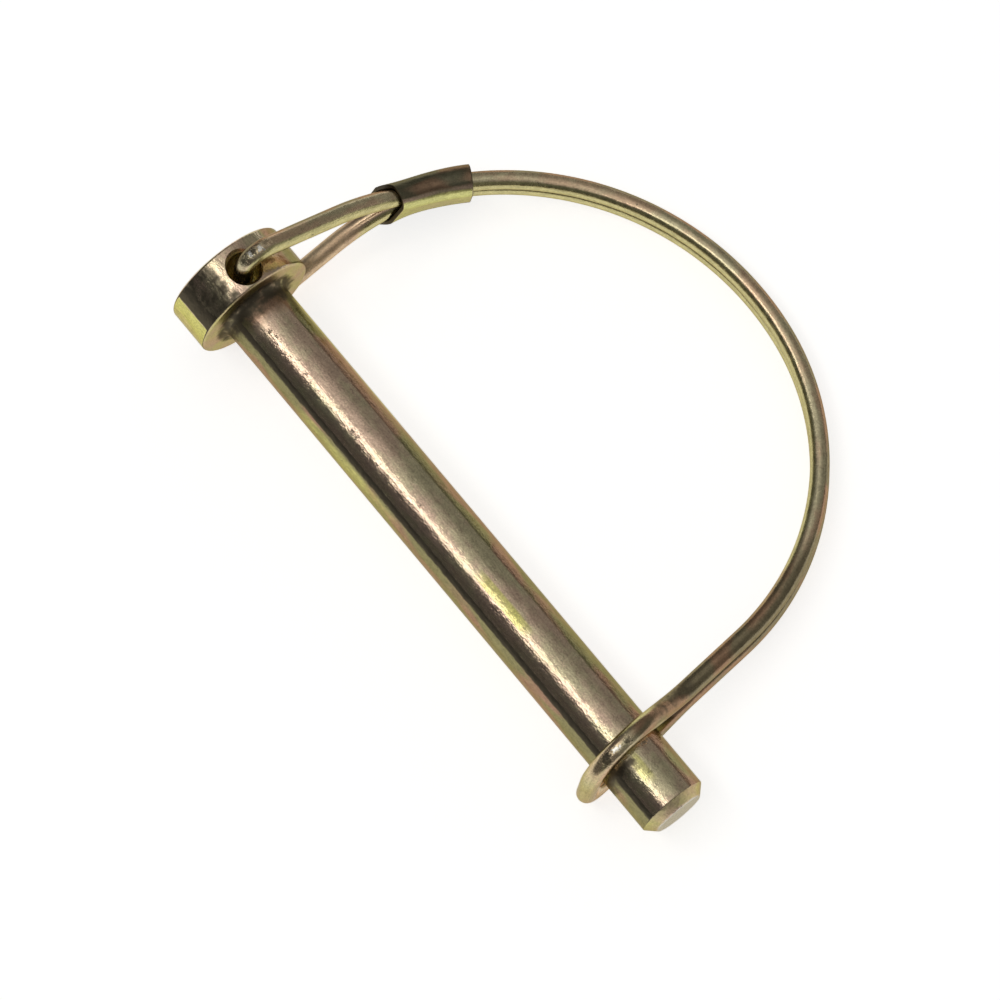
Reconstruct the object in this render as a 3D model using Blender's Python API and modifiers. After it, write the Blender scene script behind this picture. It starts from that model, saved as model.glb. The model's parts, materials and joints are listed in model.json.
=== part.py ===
# Wire lock pin: a headed pin that a spring wire loop keeps in its hole.
# The wire's two ends hook into a hole through the head, from its two sides. Its two strands meet in a
# crimped sleeve, run side by side round the arch, part again and close in an eye round the pin's tip.
# Metres, +Z up. In the pin's own frame X runs from the head's bearing face to the tip, Y points to the
# arch, and Z runs along the hole through the head. The part lies on three bends of its wire, on z = 0.

import math

import bmesh
import bpy
from mathutils import Matrix, Vector

# Pin
SHANK_RADIUS = 0.00475
SHANK_LENGTH = 0.0861
HEAD_RADIUS = 0.00853
HEAD_THICKNESS = 0.00653
HEAD_EDGE = 0.0004
ROOT_FILLET = 0.0011
TIP_CHAMFER = 0.00135
TIP_EDGE = 0.00025
PIN_STEPS = 56

# Hole through the head
HOLE_RADIUS = 0.00215
HOLE_SETBACK = 0.00289
HOLE_LIP = 0.0005
HOLE_STEPS = 32

# Wire: its thickness, and how its two strands lie beside each other
WIRE_RADIUS = 0.00128
STRAND_GAP = 0.0001
STRAND_LEAN = math.radians(-8.5)
WIRE_STEP = 0.0018
BEND_STEP = math.radians(12.0)

# Legs, from the hooks in the head to the sleeve
LEG_HEADING = math.radians(87.35)
LEG_RUN = 0.0149
UPPER_HOOK_RISE = 0.0035
LOWER_HOOK_RISE = 0.0026
HOOK_RADIUS = 0.0026
HOOK_DEPTH = 0.0068
JOIN_AT = 0.0250
JOIN_EASE = 0.0010

# Arch: its radius follows from the distance between the hole and the eye
SHOULDER_RADIUS = 0.0351
SHOULDER_TURN = math.radians(75.7)
EYE_HEADING = math.radians(-84.9)

# Eye round the tip
EYE_FROM_TIP = 0.0106
EYE_CLEARANCE = 0.0004
EYE_SLACK = 0.0005
EYE_TAPER = 0.0112
EYE_UPPER_BEND = 0.0060
EYE_LOWER_BEND = 0.0031

# Crimped sleeve; its end towards the head is cut aslant, by these slopes upwards and outwards, and its
# outer side reaches on in a tongue, which starts and ends at these heights over the upper strand
SLEEVE_START = 0.0232
SLEEVE_LENGTH = 0.0111
SLEEVE_SLANT_UP = 0.227
SLEEVE_SLANT_OUT = -0.24
SLEEVE_TONGUE = 0.0022
SLEEVE_TONGUE_FROM = 0.0014
SLEEVE_TONGUE_TO = -0.0005
SLEEVE_SHEET = 0.0005
SLEEVE_CLEARANCE = 0.0002
SLEEVE_SWELL = 0.0002
SLEEVE_LIFT = 0.00015
SLEEVE_RINGS = 16
SLEEVE_BEND_STEPS = 9

PIN_COLOR = (0.36, 0.31, 0.19, 1.0)
WIRE_COLOR = (0.30, 0.26, 0.17, 1.0)
SLEEVE_COLOR = (0.38, 0.37, 0.20, 1.0)
METALLIC = 0.9
ROUGHNESS = 0.35

SMOOTH_ANGLE = math.radians(34.0)
MERGE = 0.00001
CUT_MARGIN = 0.001

HINGE = Vector((-HOLE_SETBACK, 0.0, 0.0))
STRAND_OFFSET = WIRE_RADIUS + STRAND_GAP / 2
EYE_HALF = SHANK_RADIUS + EYE_CLEARANCE + WIRE_RADIUS


def clear_scene():
    for old in list(bpy.data.objects):
        bpy.data.objects.remove(old, do_unlink=True)


def new_collection(name):
    group = bpy.data.collections.new(name)
    bpy.context.scene.collection.children.link(group)
    return group


def plated(name, color):
    material = bpy.data.materials.new(name)
    material.use_nodes = True
    shader = material.node_tree.nodes["Principled BSDF"]
    shader.inputs["Base Color"].default_value = color
    shader.inputs["Metallic"].default_value = METALLIC
    shader.inputs["Roughness"].default_value = ROUGHNESS
    return material


def add_object(name, data, group, parent=None):
    item = bpy.data.objects.new(name, data)
    group.objects.link(item)
    item.parent = parent
    return item


def bend(before, corner, after, radius):
    # Points of the arc that rounds a corner of a polyline, from tangent point to tangent point.
    back = (before - corner).normalized()
    ahead = (after - corner).normalized()
    half = back.angle(ahead) / 2
    center = corner + (back + ahead).normalized() * radius / math.sin(half)
    start = corner + back * radius / math.tan(half) - center
    turn = math.pi - 2 * half
    axis = (-back).cross(ahead).normalized()
    count = max(2, math.ceil(turn / BEND_STEP))
    return [center + Matrix.Rotation(turn * i / count, 3, axis) @ start for i in range(count + 1)]


def rounded(corners):
    # A polyline from (point, bend radius) pairs; the two ends and zero radii stay sharp.
    points = [corners[0][0]]
    for (before, _), (corner, radius), (after, _) in zip(corners, corners[1:], corners[2:]):
        points += bend(before, corner, after, radius) if radius else [corner]
    return points + [corners[-1][0]]


def turned(name, profile, steps, group, parent=None):
    # A body turned about its own Z from a half profile that runs down its outer side.
    mesh = bpy.data.meshes.new(name)
    links = [(i, i + 1) for i in range(len(profile) - 1)]
    mesh.from_pydata(profile, links, [])
    item = add_object(name, mesh, group, parent)
    screw = item.modifiers.new("Turn", "SCREW")
    screw.axis = "Z"
    screw.steps = steps
    screw.render_steps = steps
    screw.use_merge_vertices = True
    screw.merge_threshold = MERGE
    return item


def settle(item, material):
    # Keep the evaluated shape as the object's own mesh, shaded smooth but for its sharp edges.
    bpy.context.view_layer.update()
    depsgraph = bpy.context.evaluated_depsgraph_get()
    mesh = bpy.data.meshes.new_from_object(item.evaluated_get(depsgraph))
    mesh.name = item.name
    item.modifiers.clear()
    item.data = mesh
    mesh.materials.clear()
    mesh.materials.append(material)
    mesh.shade_smooth()
    mesh.set_sharp_from_angle(angle=SMOOTH_ANGLE)


def make_pin(parts, cutters, root):
    neck = SHANK_RADIUS - TIP_CHAMFER
    shoulder = SHANK_LENGTH - TIP_CHAMFER
    profile = rounded([
        (Vector((0.0, 0.0, SHANK_LENGTH)), 0.0),
        (Vector((neck, 0.0, SHANK_LENGTH)), TIP_EDGE),
        (Vector((SHANK_RADIUS, 0.0, shoulder)), TIP_EDGE),
        (Vector((SHANK_RADIUS, 0.0, 0.0)), ROOT_FILLET),
        (Vector((HEAD_RADIUS, 0.0, 0.0)), HEAD_EDGE),
        (Vector((HEAD_RADIUS, 0.0, -HEAD_THICKNESS)), HEAD_EDGE),
        (Vector((0.0, 0.0, -HEAD_THICKNESS)), 0.0),
    ])
    pin = turned("lock_pin", profile, PIN_STEPS, parts, root)
    pin.rotation_euler = (0.0, math.pi / 2, 0.0)

    # The drill opens out at both mouths, which softens the hole's rims.
    mouth = math.sqrt(HEAD_RADIUS ** 2 - HOLE_RADIUS ** 2) - HOLE_LIP
    reach = HEAD_RADIUS + CUT_MARGIN
    wide = HOLE_RADIUS + reach - mouth
    drill_profile = rounded([
        (Vector((0.0, 0.0, reach)), 0.0),
        (Vector((wide, 0.0, reach)), 0.0),
        (Vector((HOLE_RADIUS, 0.0, mouth)), HOLE_LIP),
        (Vector((HOLE_RADIUS, 0.0, -mouth)), HOLE_LIP),
        (Vector((wide, 0.0, -reach)), 0.0),
        (Vector((0.0, 0.0, -reach)), 0.0),
    ])
    drill = turned("head_drill", drill_profile, HOLE_STEPS, cutters, root)
    drill.location = HINGE
    drill.hide_render = True
    drill.display_type = "WIRE"
    cut = pin.modifiers.new("Hole", "BOOLEAN")
    cut.operation = "DIFFERENCE"
    cut.solver = "EXACT"
    cut.object = drill
    settle(pin, plated("pin_plating", PIN_COLOR))
    return pin


def arch_sizes():
    # Arch radius and last straight run that bring the strands from the hole to the eye's axis.
    arch_end = EYE_HEADING + SHOULDER_TURN
    span = HOLE_SETBACK + SHANK_LENGTH - EYE_FROM_TIP
    leg = Vector((math.cos(LEG_HEADING), math.sin(LEG_HEADING))) * LEG_RUN
    shoulder = turn_step(SHOULDER_RADIUS, arch_end, EYE_HEADING)
    arch = turn_step(1.0, LEG_HEADING, arch_end)
    run = Vector((math.cos(EYE_HEADING), math.sin(EYE_HEADING)))
    rest = Vector((span, 0.0)) - leg - shoulder
    area = arch.x * run.y - arch.y * run.x
    arch_radius = (rest.x * run.y - rest.y * run.x) / area
    last_run = (arch.x * rest.y - arch.y * rest.x) / area
    return arch_radius, last_run


def turn_step(radius, start, end):
    # Displacement along a clockwise arc between two headings.
    return Vector((math.sin(start) - math.sin(end), math.cos(end) - math.cos(start))) * radius


def pair_stretches():
    # The pair's centre line in the plane: (length, heading at the start, radius or None if straight).
    arch_radius, last_run = arch_sizes()
    arch_end = EYE_HEADING + SHOULDER_TURN
    return [
        (LEG_RUN, LEG_HEADING, None),
        (arch_radius * (LEG_HEADING - arch_end), LEG_HEADING, arch_radius),
        (SHOULDER_RADIUS * SHOULDER_TURN, arch_end, SHOULDER_RADIUS),
        (last_run, EYE_HEADING, None),
    ]


STRETCHES = pair_stretches()
EYE_AT = sum(stretch[0] for stretch in STRETCHES)


def pair_at(along):
    # Point and heading of the pair's centre line at a distance from the hole.
    point = Vector((0.0, 0.0))
    for index, (length, heading, radius) in enumerate(STRETCHES):
        last = index == len(STRETCHES) - 1
        run = along if last else min(along, length)
        if radius is None:
            point += Vector((math.cos(heading), math.sin(heading))) * run
        else:
            end = heading - run / radius
            point += turn_step(radius, heading, end)
            heading = end
        along -= run
        if along <= 0.0:
            break
    return point, heading


def ease(part):
    part = min(1.0, max(0.0, part))
    return part * part * (3 - 2 * part)


def strand_offsets(along, side):
    # A strand's place beside the pair's line: in the plane, and up. The strands splay to both ends.
    rise = UPPER_HOOK_RISE if side > 0 else LOWER_HOOK_RISE
    eye_half = EYE_HALF if side > 0 else EYE_HALF + EYE_SLACK
    slope = (HEAD_RADIUS + rise - STRAND_OFFSET) / JOIN_AT
    splay = slope * JOIN_EASE * math.log1p(math.exp((JOIN_AT - along) / JOIN_EASE))
    opening = ease((along - EYE_AT + EYE_TAPER) / EYE_TAPER)
    lean = ease(along / JOIN_AT) * (1 - opening)
    shift = side * STRAND_OFFSET * math.sin(STRAND_LEAN) * lean
    height = STRAND_OFFSET + splay + (eye_half - STRAND_OFFSET) * opening
    return shift, side * height


def strand_at(along, side):
    shift, height = strand_offsets(along, side)
    point, heading = pair_at(along)
    return Vector((
        point.x - math.sin(heading) * shift,
        point.y + math.cos(heading) * shift,
        height,
    ))


def hook(side):
    # End in the hole, corner above it and the leg's first point, with the corner rounded.
    corner = strand_at(0.0, side)
    corner.x = 0.0
    corner.y = 0.0
    end = Vector((0.0, 0.0, side * (HEAD_RADIUS - HOOK_DEPTH)))
    leg = strand_at(LEG_RUN / 2, side)
    return [end] + bend(end, corner, leg, HOOK_RADIUS)


def wire_path():
    legs_from = LEG_RUN / 2
    count = math.ceil((EYE_AT - legs_from) / WIRE_STEP)
    stations = [legs_from + (EYE_AT - legs_from) * i / count for i in range(count + 1)]
    upper = hook(1) + [strand_at(along, 1) for along in stations]
    lower = hook(-1) + [strand_at(along, -1) for along in stations]
    run = Vector((math.cos(EYE_HEADING), math.sin(EYE_HEADING), 0.0))
    upper_corner = upper[-1] + run * EYE_HALF
    lower_corner = lower[-1] + run * EYE_HALF
    eye = bend(upper[-1], upper_corner, lower_corner, EYE_UPPER_BEND)
    eye += bend(upper_corner, lower_corner, lower[-1], EYE_LOWER_BEND)
    return upper + eye + lower[::-1]


def make_wire(parts, hinge, path):
    curve = bpy.data.curves.new("spring_wire", "CURVE")
    curve.dimensions = "3D"
    curve.bevel_depth = WIRE_RADIUS
    curve.bevel_resolution = 4
    curve.use_fill_caps = True
    spline = curve.splines.new("POLY")
    spline.points.add(len(path) - 1)
    for slot, point in zip(spline.points, path):
        slot.co = (*point, 1.0)
    curve.materials.append(plated("wire_plating", WIRE_COLOR))
    return add_object("spring_wire", curve, parts, hinge)


def sleeve_outline(along, swell):
    # Outline that hugs the two strands: (in-plane offset, height) pairs, anticlockwise from outside.
    reach = WIRE_RADIUS + SLEEVE_CLEARANCE + swell
    upper = Vector(strand_offsets(along, 1))
    lower = Vector(strand_offsets(along, -1))
    lean = math.atan2(upper.x - lower.x, upper.y - lower.y)
    outline = []
    for center, start in ((upper, -lean), (lower, math.pi - lean)):
        for i in range(SLEEVE_BEND_STEPS + 1):
            angle = start + math.pi * i / SLEEVE_BEND_STEPS
            outline.append(center + Vector((math.cos(angle), math.sin(angle))) * reach)
    return outline


def sleeve_slant(spot, along, swell):
    # How far the end towards the head is cut back at a point of the outline.
    reach = WIRE_RADIUS + SLEEVE_CLEARANCE + swell
    over = spot.y - strand_offsets(along, 1)[1]
    tongue = ease((SLEEVE_TONGUE_FROM - over) / (SLEEVE_TONGUE_FROM - SLEEVE_TONGUE_TO))
    tongue *= ease((spot.x + reach) / (2 * reach))
    return SLEEVE_SLANT_UP * spot.y + SLEEVE_SLANT_OUT * spot.x - SLEEVE_TONGUE * tongue


def make_sleeve(parts, hinge):
    # A rolled sheet sleeve round both strands, a little wider and further out at its end on the arch.
    mesh = bpy.data.meshes.new("sleeve")
    shell = bmesh.new()
    rings = []
    for i in range(SLEEVE_RINGS + 1):
        part = i / SLEEVE_RINGS
        swell = SLEEVE_SWELL * ease(part)
        lift = SLEEVE_LIFT * ease(part)
        along = SLEEVE_START + SLEEVE_LENGTH * part
        ring = []
        for index, spot in enumerate(sleeve_outline(along, swell)):
            cut_at = along + (1 - part) * sleeve_slant(spot, along, swell)
            offset, height = sleeve_outline(cut_at, swell)[index]
            offset += lift
            point, heading = pair_at(cut_at)
            ring.append(shell.verts.new((
                point.x - math.sin(heading) * offset,
                point.y + math.cos(heading) * offset,
                height,
            )))
        rings.append(ring)
    for ring, following in zip(rings, rings[1:]):
        for index in range(len(ring)):
            near = (index + 1) % len(ring)
            shell.faces.new((ring[index], ring[near], following[near], following[index]))
    bmesh.ops.recalc_face_normals(shell, faces=shell.faces)
    shell.to_mesh(mesh)
    shell.free()
    sleeve = add_object("crimp_sleeve", mesh, parts, hinge)
    sheet = sleeve.modifiers.new("Sheet", "SOLIDIFY")
    sheet.thickness = SLEEVE_SHEET
    sheet.offset = 1.0
    sheet.use_even_offset = True
    settle(sleeve, plated("sleeve_plating", SLEEVE_COLOR))
    return sleeve


def resting_turn(path):
    # Turn that lays the part on its three lowest bends: a hook, the eye and the arch.
    reach = max(point.y for point in path)
    span = max(point.x for point in path)
    near = [point for point in path if point.y < reach / 2 and point.x < span / 2]
    tip = [point for point in path if point.y < reach / 2 and point.x > span / 2]
    arch = [point for point in path if point.y >= reach / 2]
    normal = Vector((0.0, 0.0, 1.0))
    for _ in range(6):
        feet = [min(group, key=normal.dot) for group in (near, tip, arch)]
        normal = (feet[1] - feet[0]).cross(feet[2] - feet[0]).normalized()
    forward = Vector((1.0, 0.0, 0.0))
    forward = (forward - normal * forward.dot(normal)).normalized()
    return Matrix((forward, normal.cross(forward), normal)).to_4x4()


def world_box(items):
    bpy.context.view_layer.update()
    depsgraph = bpy.context.evaluated_depsgraph_get()
    corners = []
    for item in items:
        evaluated = item.evaluated_get(depsgraph)
        mesh = evaluated.to_mesh()
        corners += [evaluated.matrix_world @ vertex.co for vertex in mesh.vertices]
        evaluated.to_mesh_clear()
    low = Vector([min(corner[axis] for corner in corners) for axis in range(3)])
    high = Vector([max(corner[axis] for corner in corners) for axis in range(3)])
    return low, high


def build():
    clear_scene()
    parts = new_collection("wire_lock_pin")
    cutters = new_collection("cutters")
    root = add_object("pin_frame", None, parts)
    hinge = add_object("loop_hinge", None, parts, root)
    hinge.location = HINGE
    path = wire_path()
    pieces = [make_pin(parts, cutters, root), make_wire(parts, hinge, path), make_sleeve(parts, hinge)]
    root.matrix_world = resting_turn(path)
    low, high = world_box(pieces)
    middle = (low + high) / 2
    root.location = (-middle.x, -middle.y, -low.z)


build()
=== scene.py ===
import json
import math

import bmesh
import bpy
from mathutils import Matrix, Vector, noise


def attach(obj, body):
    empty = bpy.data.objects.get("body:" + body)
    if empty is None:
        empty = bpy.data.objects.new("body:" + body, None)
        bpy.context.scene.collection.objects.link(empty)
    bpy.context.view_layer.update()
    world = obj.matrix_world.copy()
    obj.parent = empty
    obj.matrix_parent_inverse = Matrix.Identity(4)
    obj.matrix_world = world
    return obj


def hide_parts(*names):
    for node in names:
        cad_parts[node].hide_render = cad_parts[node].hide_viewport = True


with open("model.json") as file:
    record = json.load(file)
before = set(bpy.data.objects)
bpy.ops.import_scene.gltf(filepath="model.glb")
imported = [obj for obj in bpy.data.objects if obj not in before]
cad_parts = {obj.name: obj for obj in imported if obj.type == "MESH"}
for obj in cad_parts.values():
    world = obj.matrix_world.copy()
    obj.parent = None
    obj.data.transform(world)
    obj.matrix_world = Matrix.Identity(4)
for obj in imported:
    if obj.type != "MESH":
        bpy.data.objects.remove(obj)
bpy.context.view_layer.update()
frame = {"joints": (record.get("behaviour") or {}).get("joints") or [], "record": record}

# The pin's own frame: X from the head's bearing face to the tip, Y towards the arch, Z along the cross hole
holeSetback = 0.00289  # from the bearing face back to the hole's axis
joint = frame["joints"][0]
tipMount = next(mount for mount in frame["record"]["mounts"] if mount["name"] == "tip_end")
pinX = Vector(tipMount["axis"]).normalized()
holeAxis = Vector(joint["axis"])
pinZ = (holeAxis - pinX * holeAxis.dot(pinX)).normalized()
pinY = pinZ.cross(pinX)
pinFrame = Matrix((pinX, pinY, pinZ)).transposed().to_4x4()
pinFrame.translation = Vector(joint["pos_m"]) + pinX * holeSetback
print("frame loaded")


def addNode(tree, kind, settings=None, inputs=None):
    # An input takes a plain value or another node's output.
    node = tree.nodes.new(kind)
    for name, value in (settings or {}).items():
        setattr(node, name, value)
    for name, value in (inputs or {}).items():
        socket = node.inputs[name]
        if isinstance(value, bpy.types.NodeSocket):
            tree.links.new(value, socket)
        else:
            socket.default_value = value
    return node


def mathNode(tree, operation, *values, clamp=False):
    settings = {"operation": operation, "use_clamp": clamp}
    return addNode(tree, "ShaderNodeMath", settings, dict(enumerate(values))).outputs[0]


def vectorNode(tree, operation, *values, output="Vector"):
    node = addNode(tree, "ShaderNodeVectorMath", {"operation": operation}, dict(enumerate(values)))
    return node.outputs[output]


def mixColor(tree, factor, first, second, blend="MIX"):
    # The node's inputs 6 and 7 and its output 2 are colours.
    settings = {"data_type": "RGBA", "blend_type": blend}
    return addNode(tree, "ShaderNodeMix", settings, {0: factor, 6: first, 7: second}).outputs[2]


def ramp(tree, value, low, high):
    node = addNode(tree, "ShaderNodeMapRange", {"interpolation_type": "SMOOTHSTEP"},
                   {"Value": value, "From Min": low, "From Max": high})
    return node.outputs["Result"]


def inverted(tree, value):
    return mathNode(tree, "SUBTRACT", 1.0, value)


def weighted(tree, start, *terms):
    # A start value plus patterns, each times its share.
    total = start
    for pattern, share in terms:
        total = mathNode(tree, "MULTIPLY_ADD", pattern, share, total)
    return total


def frayed(tree, mask, pattern, fray, edge):
    # A mask whose soft edge is broken up by a pattern.
    sway = mathNode(tree, "MULTIPLY_ADD", pattern, fray, -fray / 2)
    return ramp(tree, mathNode(tree, "ADD", mask, sway), *edge)


def noiseNode(tree, place, scale, detail=2.0, rough=0.5, output="Fac"):
    node = addNode(tree, "ShaderNodeTexNoise", None,
                   {"Vector": place, "Scale": scale, "Detail": detail, "Roughness": rough})
    return node.outputs[output]


def attribute(tree, name, output="Fac"):
    return addNode(tree, "ShaderNodeAttribute", {"attribute_name": name}).outputs[output]


def newGroup(name, inputs, outputs):
    group = bpy.data.node_groups.new(name, "ShaderNodeTree")
    for label, kind, value in inputs:
        socket = group.interface.new_socket(label, in_out="INPUT", socket_type=kind)
        if value is not None:
            socket.default_value = value
    for label, kind in outputs:
        group.interface.new_socket(label, in_out="OUTPUT", socket_type=kind)
    return group, group.nodes.new("NodeGroupInput"), group.nodes.new("NodeGroupOutput")


maskNames = ("Lime Mask", "Shade Mask", "Dirt And Shade Mask", "Wear Mask", "Dull Mask")
platingLook = {
    # Flank Brown and Flank Olive are the tones of painted shade, and the darkest colour is the tone of
    # painted shade and of real dirt.
    "colors": {"Rose": (0.65, 0.48, 0.36, 1), "Olive": (0.57, 0.51, 0.33, 1), "Lime": (0.56, 0.53, 0.18, 1),
               "Flank Brown": (0.33, 0.205, 0.135, 1), "Flank Olive": (0.25, 0.225, 0.11, 1),
               "Dirt And Shade": (0.10, 0.085, 0.06, 1), "Bare Metal": (0.60, 0.58, 0.52, 1)},
    "values": {"Patch Size": 1.0, "Wave": 1.0, "Grit": 0.25, "Lines": 0.3, "Base Roughness": 0.22},
    "edgeTint": (0.62, 0.56, 0.42, 1),
    # The patterns, per millimetre: scale, detail, roughness, and how they stretch along and across the metal
    "patches": (0.36, 3.0, 0.55), "flankPatches": (0.42, 1.0, 0.4), "patchStretch": (0.35, 1.0, 1.0),
    "wave": (0.95, 3.0, 0.55), "grit": (4.2, 2.0, 0.55),
    "lines": (1.0, 3.0, 0.6), "lineStretch": (0.45, 3.0, 3.0),
    "pitCells": 0.75, "pitWarp": (0.7, 0.5, 0.5), "pitWarpScale": 3.5,
    # Where each tone starts and where it is full
    "oliveEdge": (0.50, 0.80), "flankEdge": (0.42, 0.58), "shadeEdge": (0.15, 0.85),
    "limeEdge": (0.20, 0.80),
    "dirtAndShadeEdge": (0.25, 0.75), "wearEdge": (0.42, 0.62), "scratchEdge": (0.60, 0.72),
    "pitPick": (0.72, 0.80), "pitEdge": (0.04, 0.16),
    # How far the patterns fray the masks
    "oliveFray": 0.30, "shadeFray": 0.5, "limeFray": 0.8, "dirtAndShadeFray": 0.9, "wearFray": 1.1,
    # What each pattern adds to the brightness, the dark tone of dirt and painted shade, the roughness and the
    # height
    "lineLight": 0.7, "gritLight": 0.8, "waveLight": 0.60, "scratchLight": -0.30, "pitGrime": 0.6,
    "waveRough": 0.18, "dirtAndShadeRough": 0.20, "dullRough": 0.32, "pitHeight": -0.3, "wearHeight": -0.4,
}


def zincPlatingGroup(look):
    # Yellow chromate over zinc: rose and olive, lime where it is thin, flanks darkened as painted shade, a
    # dark tone for painted shade and real dirt, and worn spots.
    inputs = [("Grain", "NodeSocketVector", None)]
    inputs += [(label, "NodeSocketFloat", 0.0) for label in maskNames]
    inputs += [(label, "NodeSocketColor", color) for label, color in look["colors"].items()]
    inputs += [(label, "NodeSocketFloat", value) for label, value in look["values"].items()]
    outputs = [("Color", "NodeSocketColor"), ("Roughness", "NodeSocketFloat"), ("Height", "NodeSocketFloat")]
    group, source, result = newGroup("zincPlating", inputs, outputs)
    out = source.outputs
    inMillimetres = vectorNode(group, "MULTIPLY", out["Grain"], (1000.0, 1000.0, 1000.0))
    stretched = vectorNode(group, "MULTIPLY", inMillimetres, look["patchStretch"])
    drawn = vectorNode(group, "MULTIPLY", inMillimetres, look["lineStretch"])
    patches, flankPatches = [
        noiseNode(group, stretched, mathNode(group, "DIVIDE", scale, out["Patch Size"]), detail, rough)
        for scale, detail, rough in (look["patches"], look["flankPatches"])]
    wave = noiseNode(group, inMillimetres, *look["wave"])
    grit = noiseNode(group, inMillimetres, *look["grit"])
    lines = noiseNode(group, drawn, *look["lines"])

    olive = ramp(group, weighted(group, patches, (wave, look["oliveFray"])), *look["oliveEdge"])
    olive = mathNode(group, "MULTIPLY", olive, inverted(group, out["Dull Mask"]))
    tone = mixColor(group, olive, out["Rose"], out["Olive"])
    flankOlive = ramp(group, flankPatches, *look["flankEdge"])
    flank = mixColor(group, flankOlive, out["Flank Brown"], out["Flank Olive"])
    shade = frayed(group, out["Shade Mask"], wave, look["shadeFray"], look["shadeEdge"])
    tone = mixColor(group, shade, tone, flank)
    lime = frayed(group, out["Lime Mask"], patches, look["limeFray"], look["limeEdge"])
    tone = mixColor(group, lime, tone, out["Lime"])
    scratch = ramp(group, lines, *look["scratchEdge"])
    speckle = weighted(group, 0.0, (lines, look["lineLight"]), (grit, look["gritLight"]),
                       (wave, look["waveLight"]), (scratch, look["scratchLight"]))
    gray = addNode(group, "ShaderNodeCombineColor", None,
                   {"Red": speckle, "Green": speckle, "Blue": speckle}).outputs[0]
    tone = mixColor(group, 1.0, tone, gray, "MULTIPLY")

    # Pits: the middles of a few cells, with ragged outlines
    rag = noiseNode(group, inMillimetres, look["pitWarpScale"], output="Color")
    warped = vectorNode(group, "MULTIPLY_ADD", rag, look["pitWarp"], inMillimetres)
    cells = addNode(group, "ShaderNodeTexVoronoi", None,
                    {"Vector": warped, "Scale": look["pitCells"]}).outputs
    pick = addNode(group, "ShaderNodeSeparateColor", None, {"Color": cells["Color"]}).outputs[0]
    pit = inverted(group, ramp(group, cells["Distance"], *look["pitEdge"]))
    pit = mathNode(group, "MULTIPLY", ramp(group, pick, *look["pitPick"]), pit)
    pitGrime = mathNode(group, "MULTIPLY", pit, look["pitGrime"])
    # The dark tone: painted shade in dark bands, corners, the hole, on the wire's slope and under and inside
    # the sleeve, darker cut ends, and real dirt in pits and nicks.
    dirtAndShade = frayed(group, out["Dirt And Shade Mask"], wave, look["dirtAndShadeFray"], look["dirtAndShadeEdge"])
    dirtAndShade = mathNode(group, "MAXIMUM", dirtAndShade, pitGrime)
    tone = mixColor(group, dirtAndShade, tone, out["Dirt And Shade"])
    wear = frayed(group, out["Wear Mask"], wave, look["wearFray"], look["wearEdge"])
    tone = mixColor(group, wear, tone, out["Bare Metal"])

    rough = mathNode(group, "SUBTRACT", out["Base Roughness"], look["waveRough"] / 2)
    rough = weighted(group, rough, (wave, look["waveRough"]), (dirtAndShade, look["dirtAndShadeRough"]))
    rough = mathNode(group, "MULTIPLY_ADD", out["Dull Mask"], look["dullRough"], rough, clamp=True)
    height = weighted(group, 0.0, (wave, out["Wave"]), (grit, out["Grit"]), (lines, out["Lines"]),
                      (pit, look["pitHeight"]), (wear, look["wearHeight"]))
    group.links.new(tone, result.inputs["Color"])
    group.links.new(rough, result.inputs["Roughness"])
    group.links.new(height, result.inputs["Height"])
    return group


plating = zincPlatingGroup(platingLook)
# A nick's core is a share of its radius, and its rag has a scale per metre and a reach in metres
nickLook = {"core": 0.45, "ragScale": 3200.0, "rag": (0.0014, 0.0014, 0.0014)}


def addNicks(tree, nicks, height, masks):
    # Small ragged nicks, each a point in the pin's frame, a radius, a depth, and its grime and wear.
    place = tree.nodes.new("ShaderNodeTexCoord").outputs["Object"]
    jitter = noiseNode(tree, place, nickLook["ragScale"], output="Color")
    jitter = vectorNode(tree, "SUBTRACT", jitter, (0.5, 0.5, 0.5))
    jitter = vectorNode(tree, "MULTIPLY", jitter, nickLook["rag"])
    ragged = vectorNode(tree, "ADD", place, jitter)
    for point, radius, depth, dirtAndShade, wear in nicks:
        distance = vectorNode(tree, "DISTANCE", ragged, pinFrame @ Vector(point), output="Value")
        nick = inverted(tree, ramp(tree, distance, radius * nickLook["core"], radius))
        height = weighted(tree, height, (nick, -depth))
        masks["Dirt And Shade Mask"] = weighted(tree, masks["Dirt And Shade Mask"], (nick, dirtAndShade))
        masks["Wear Mask"] = weighted(tree, masks["Wear Mask"], (nick, wear))
    return height


def platedMaterial(name, look, relief=None):
    # The plated finish with a piece's own values, its nicks, and a relief of its own if it has one.
    material = bpy.data.materials.new(name)
    material.use_nodes = True
    tree = material.node_tree
    shader = tree.nodes["Principled BSDF"]
    finish = tree.nodes.new("ShaderNodeGroup")
    finish.node_tree = plating
    for label, value in look["finish"].items():
        finish.inputs[label].default_value = value
    grain = attribute(tree, "grain", "Vector")
    tree.links.new(grain, finish.inputs["Grain"])
    masks = {label: attribute(tree, label) for label in maskNames}
    height = finish.outputs["Height"]
    if look["nicks"]:
        height = addNicks(tree, look["nicks"], height, masks)
    for label in maskNames:
        tree.links.new(masks[label], finish.inputs[label])
    if relief:
        height = mathNode(tree, "ADD", height, relief(tree, grain))
    bump = addNode(tree, "ShaderNodeBump", None, {"Distance": look["bumpDepth"], "Height": height})
    tree.links.new(finish.outputs["Color"], shader.inputs["Base Color"])
    tree.links.new(finish.outputs["Roughness"], shader.inputs["Roughness"])
    tree.links.new(bump.outputs["Normal"], shader.inputs["Normal"])
    shader.inputs["Metallic"].default_value = 1.0
    shader.inputs["Specular Tint"].default_value = platingLook["edgeTint"]
    return material


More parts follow.
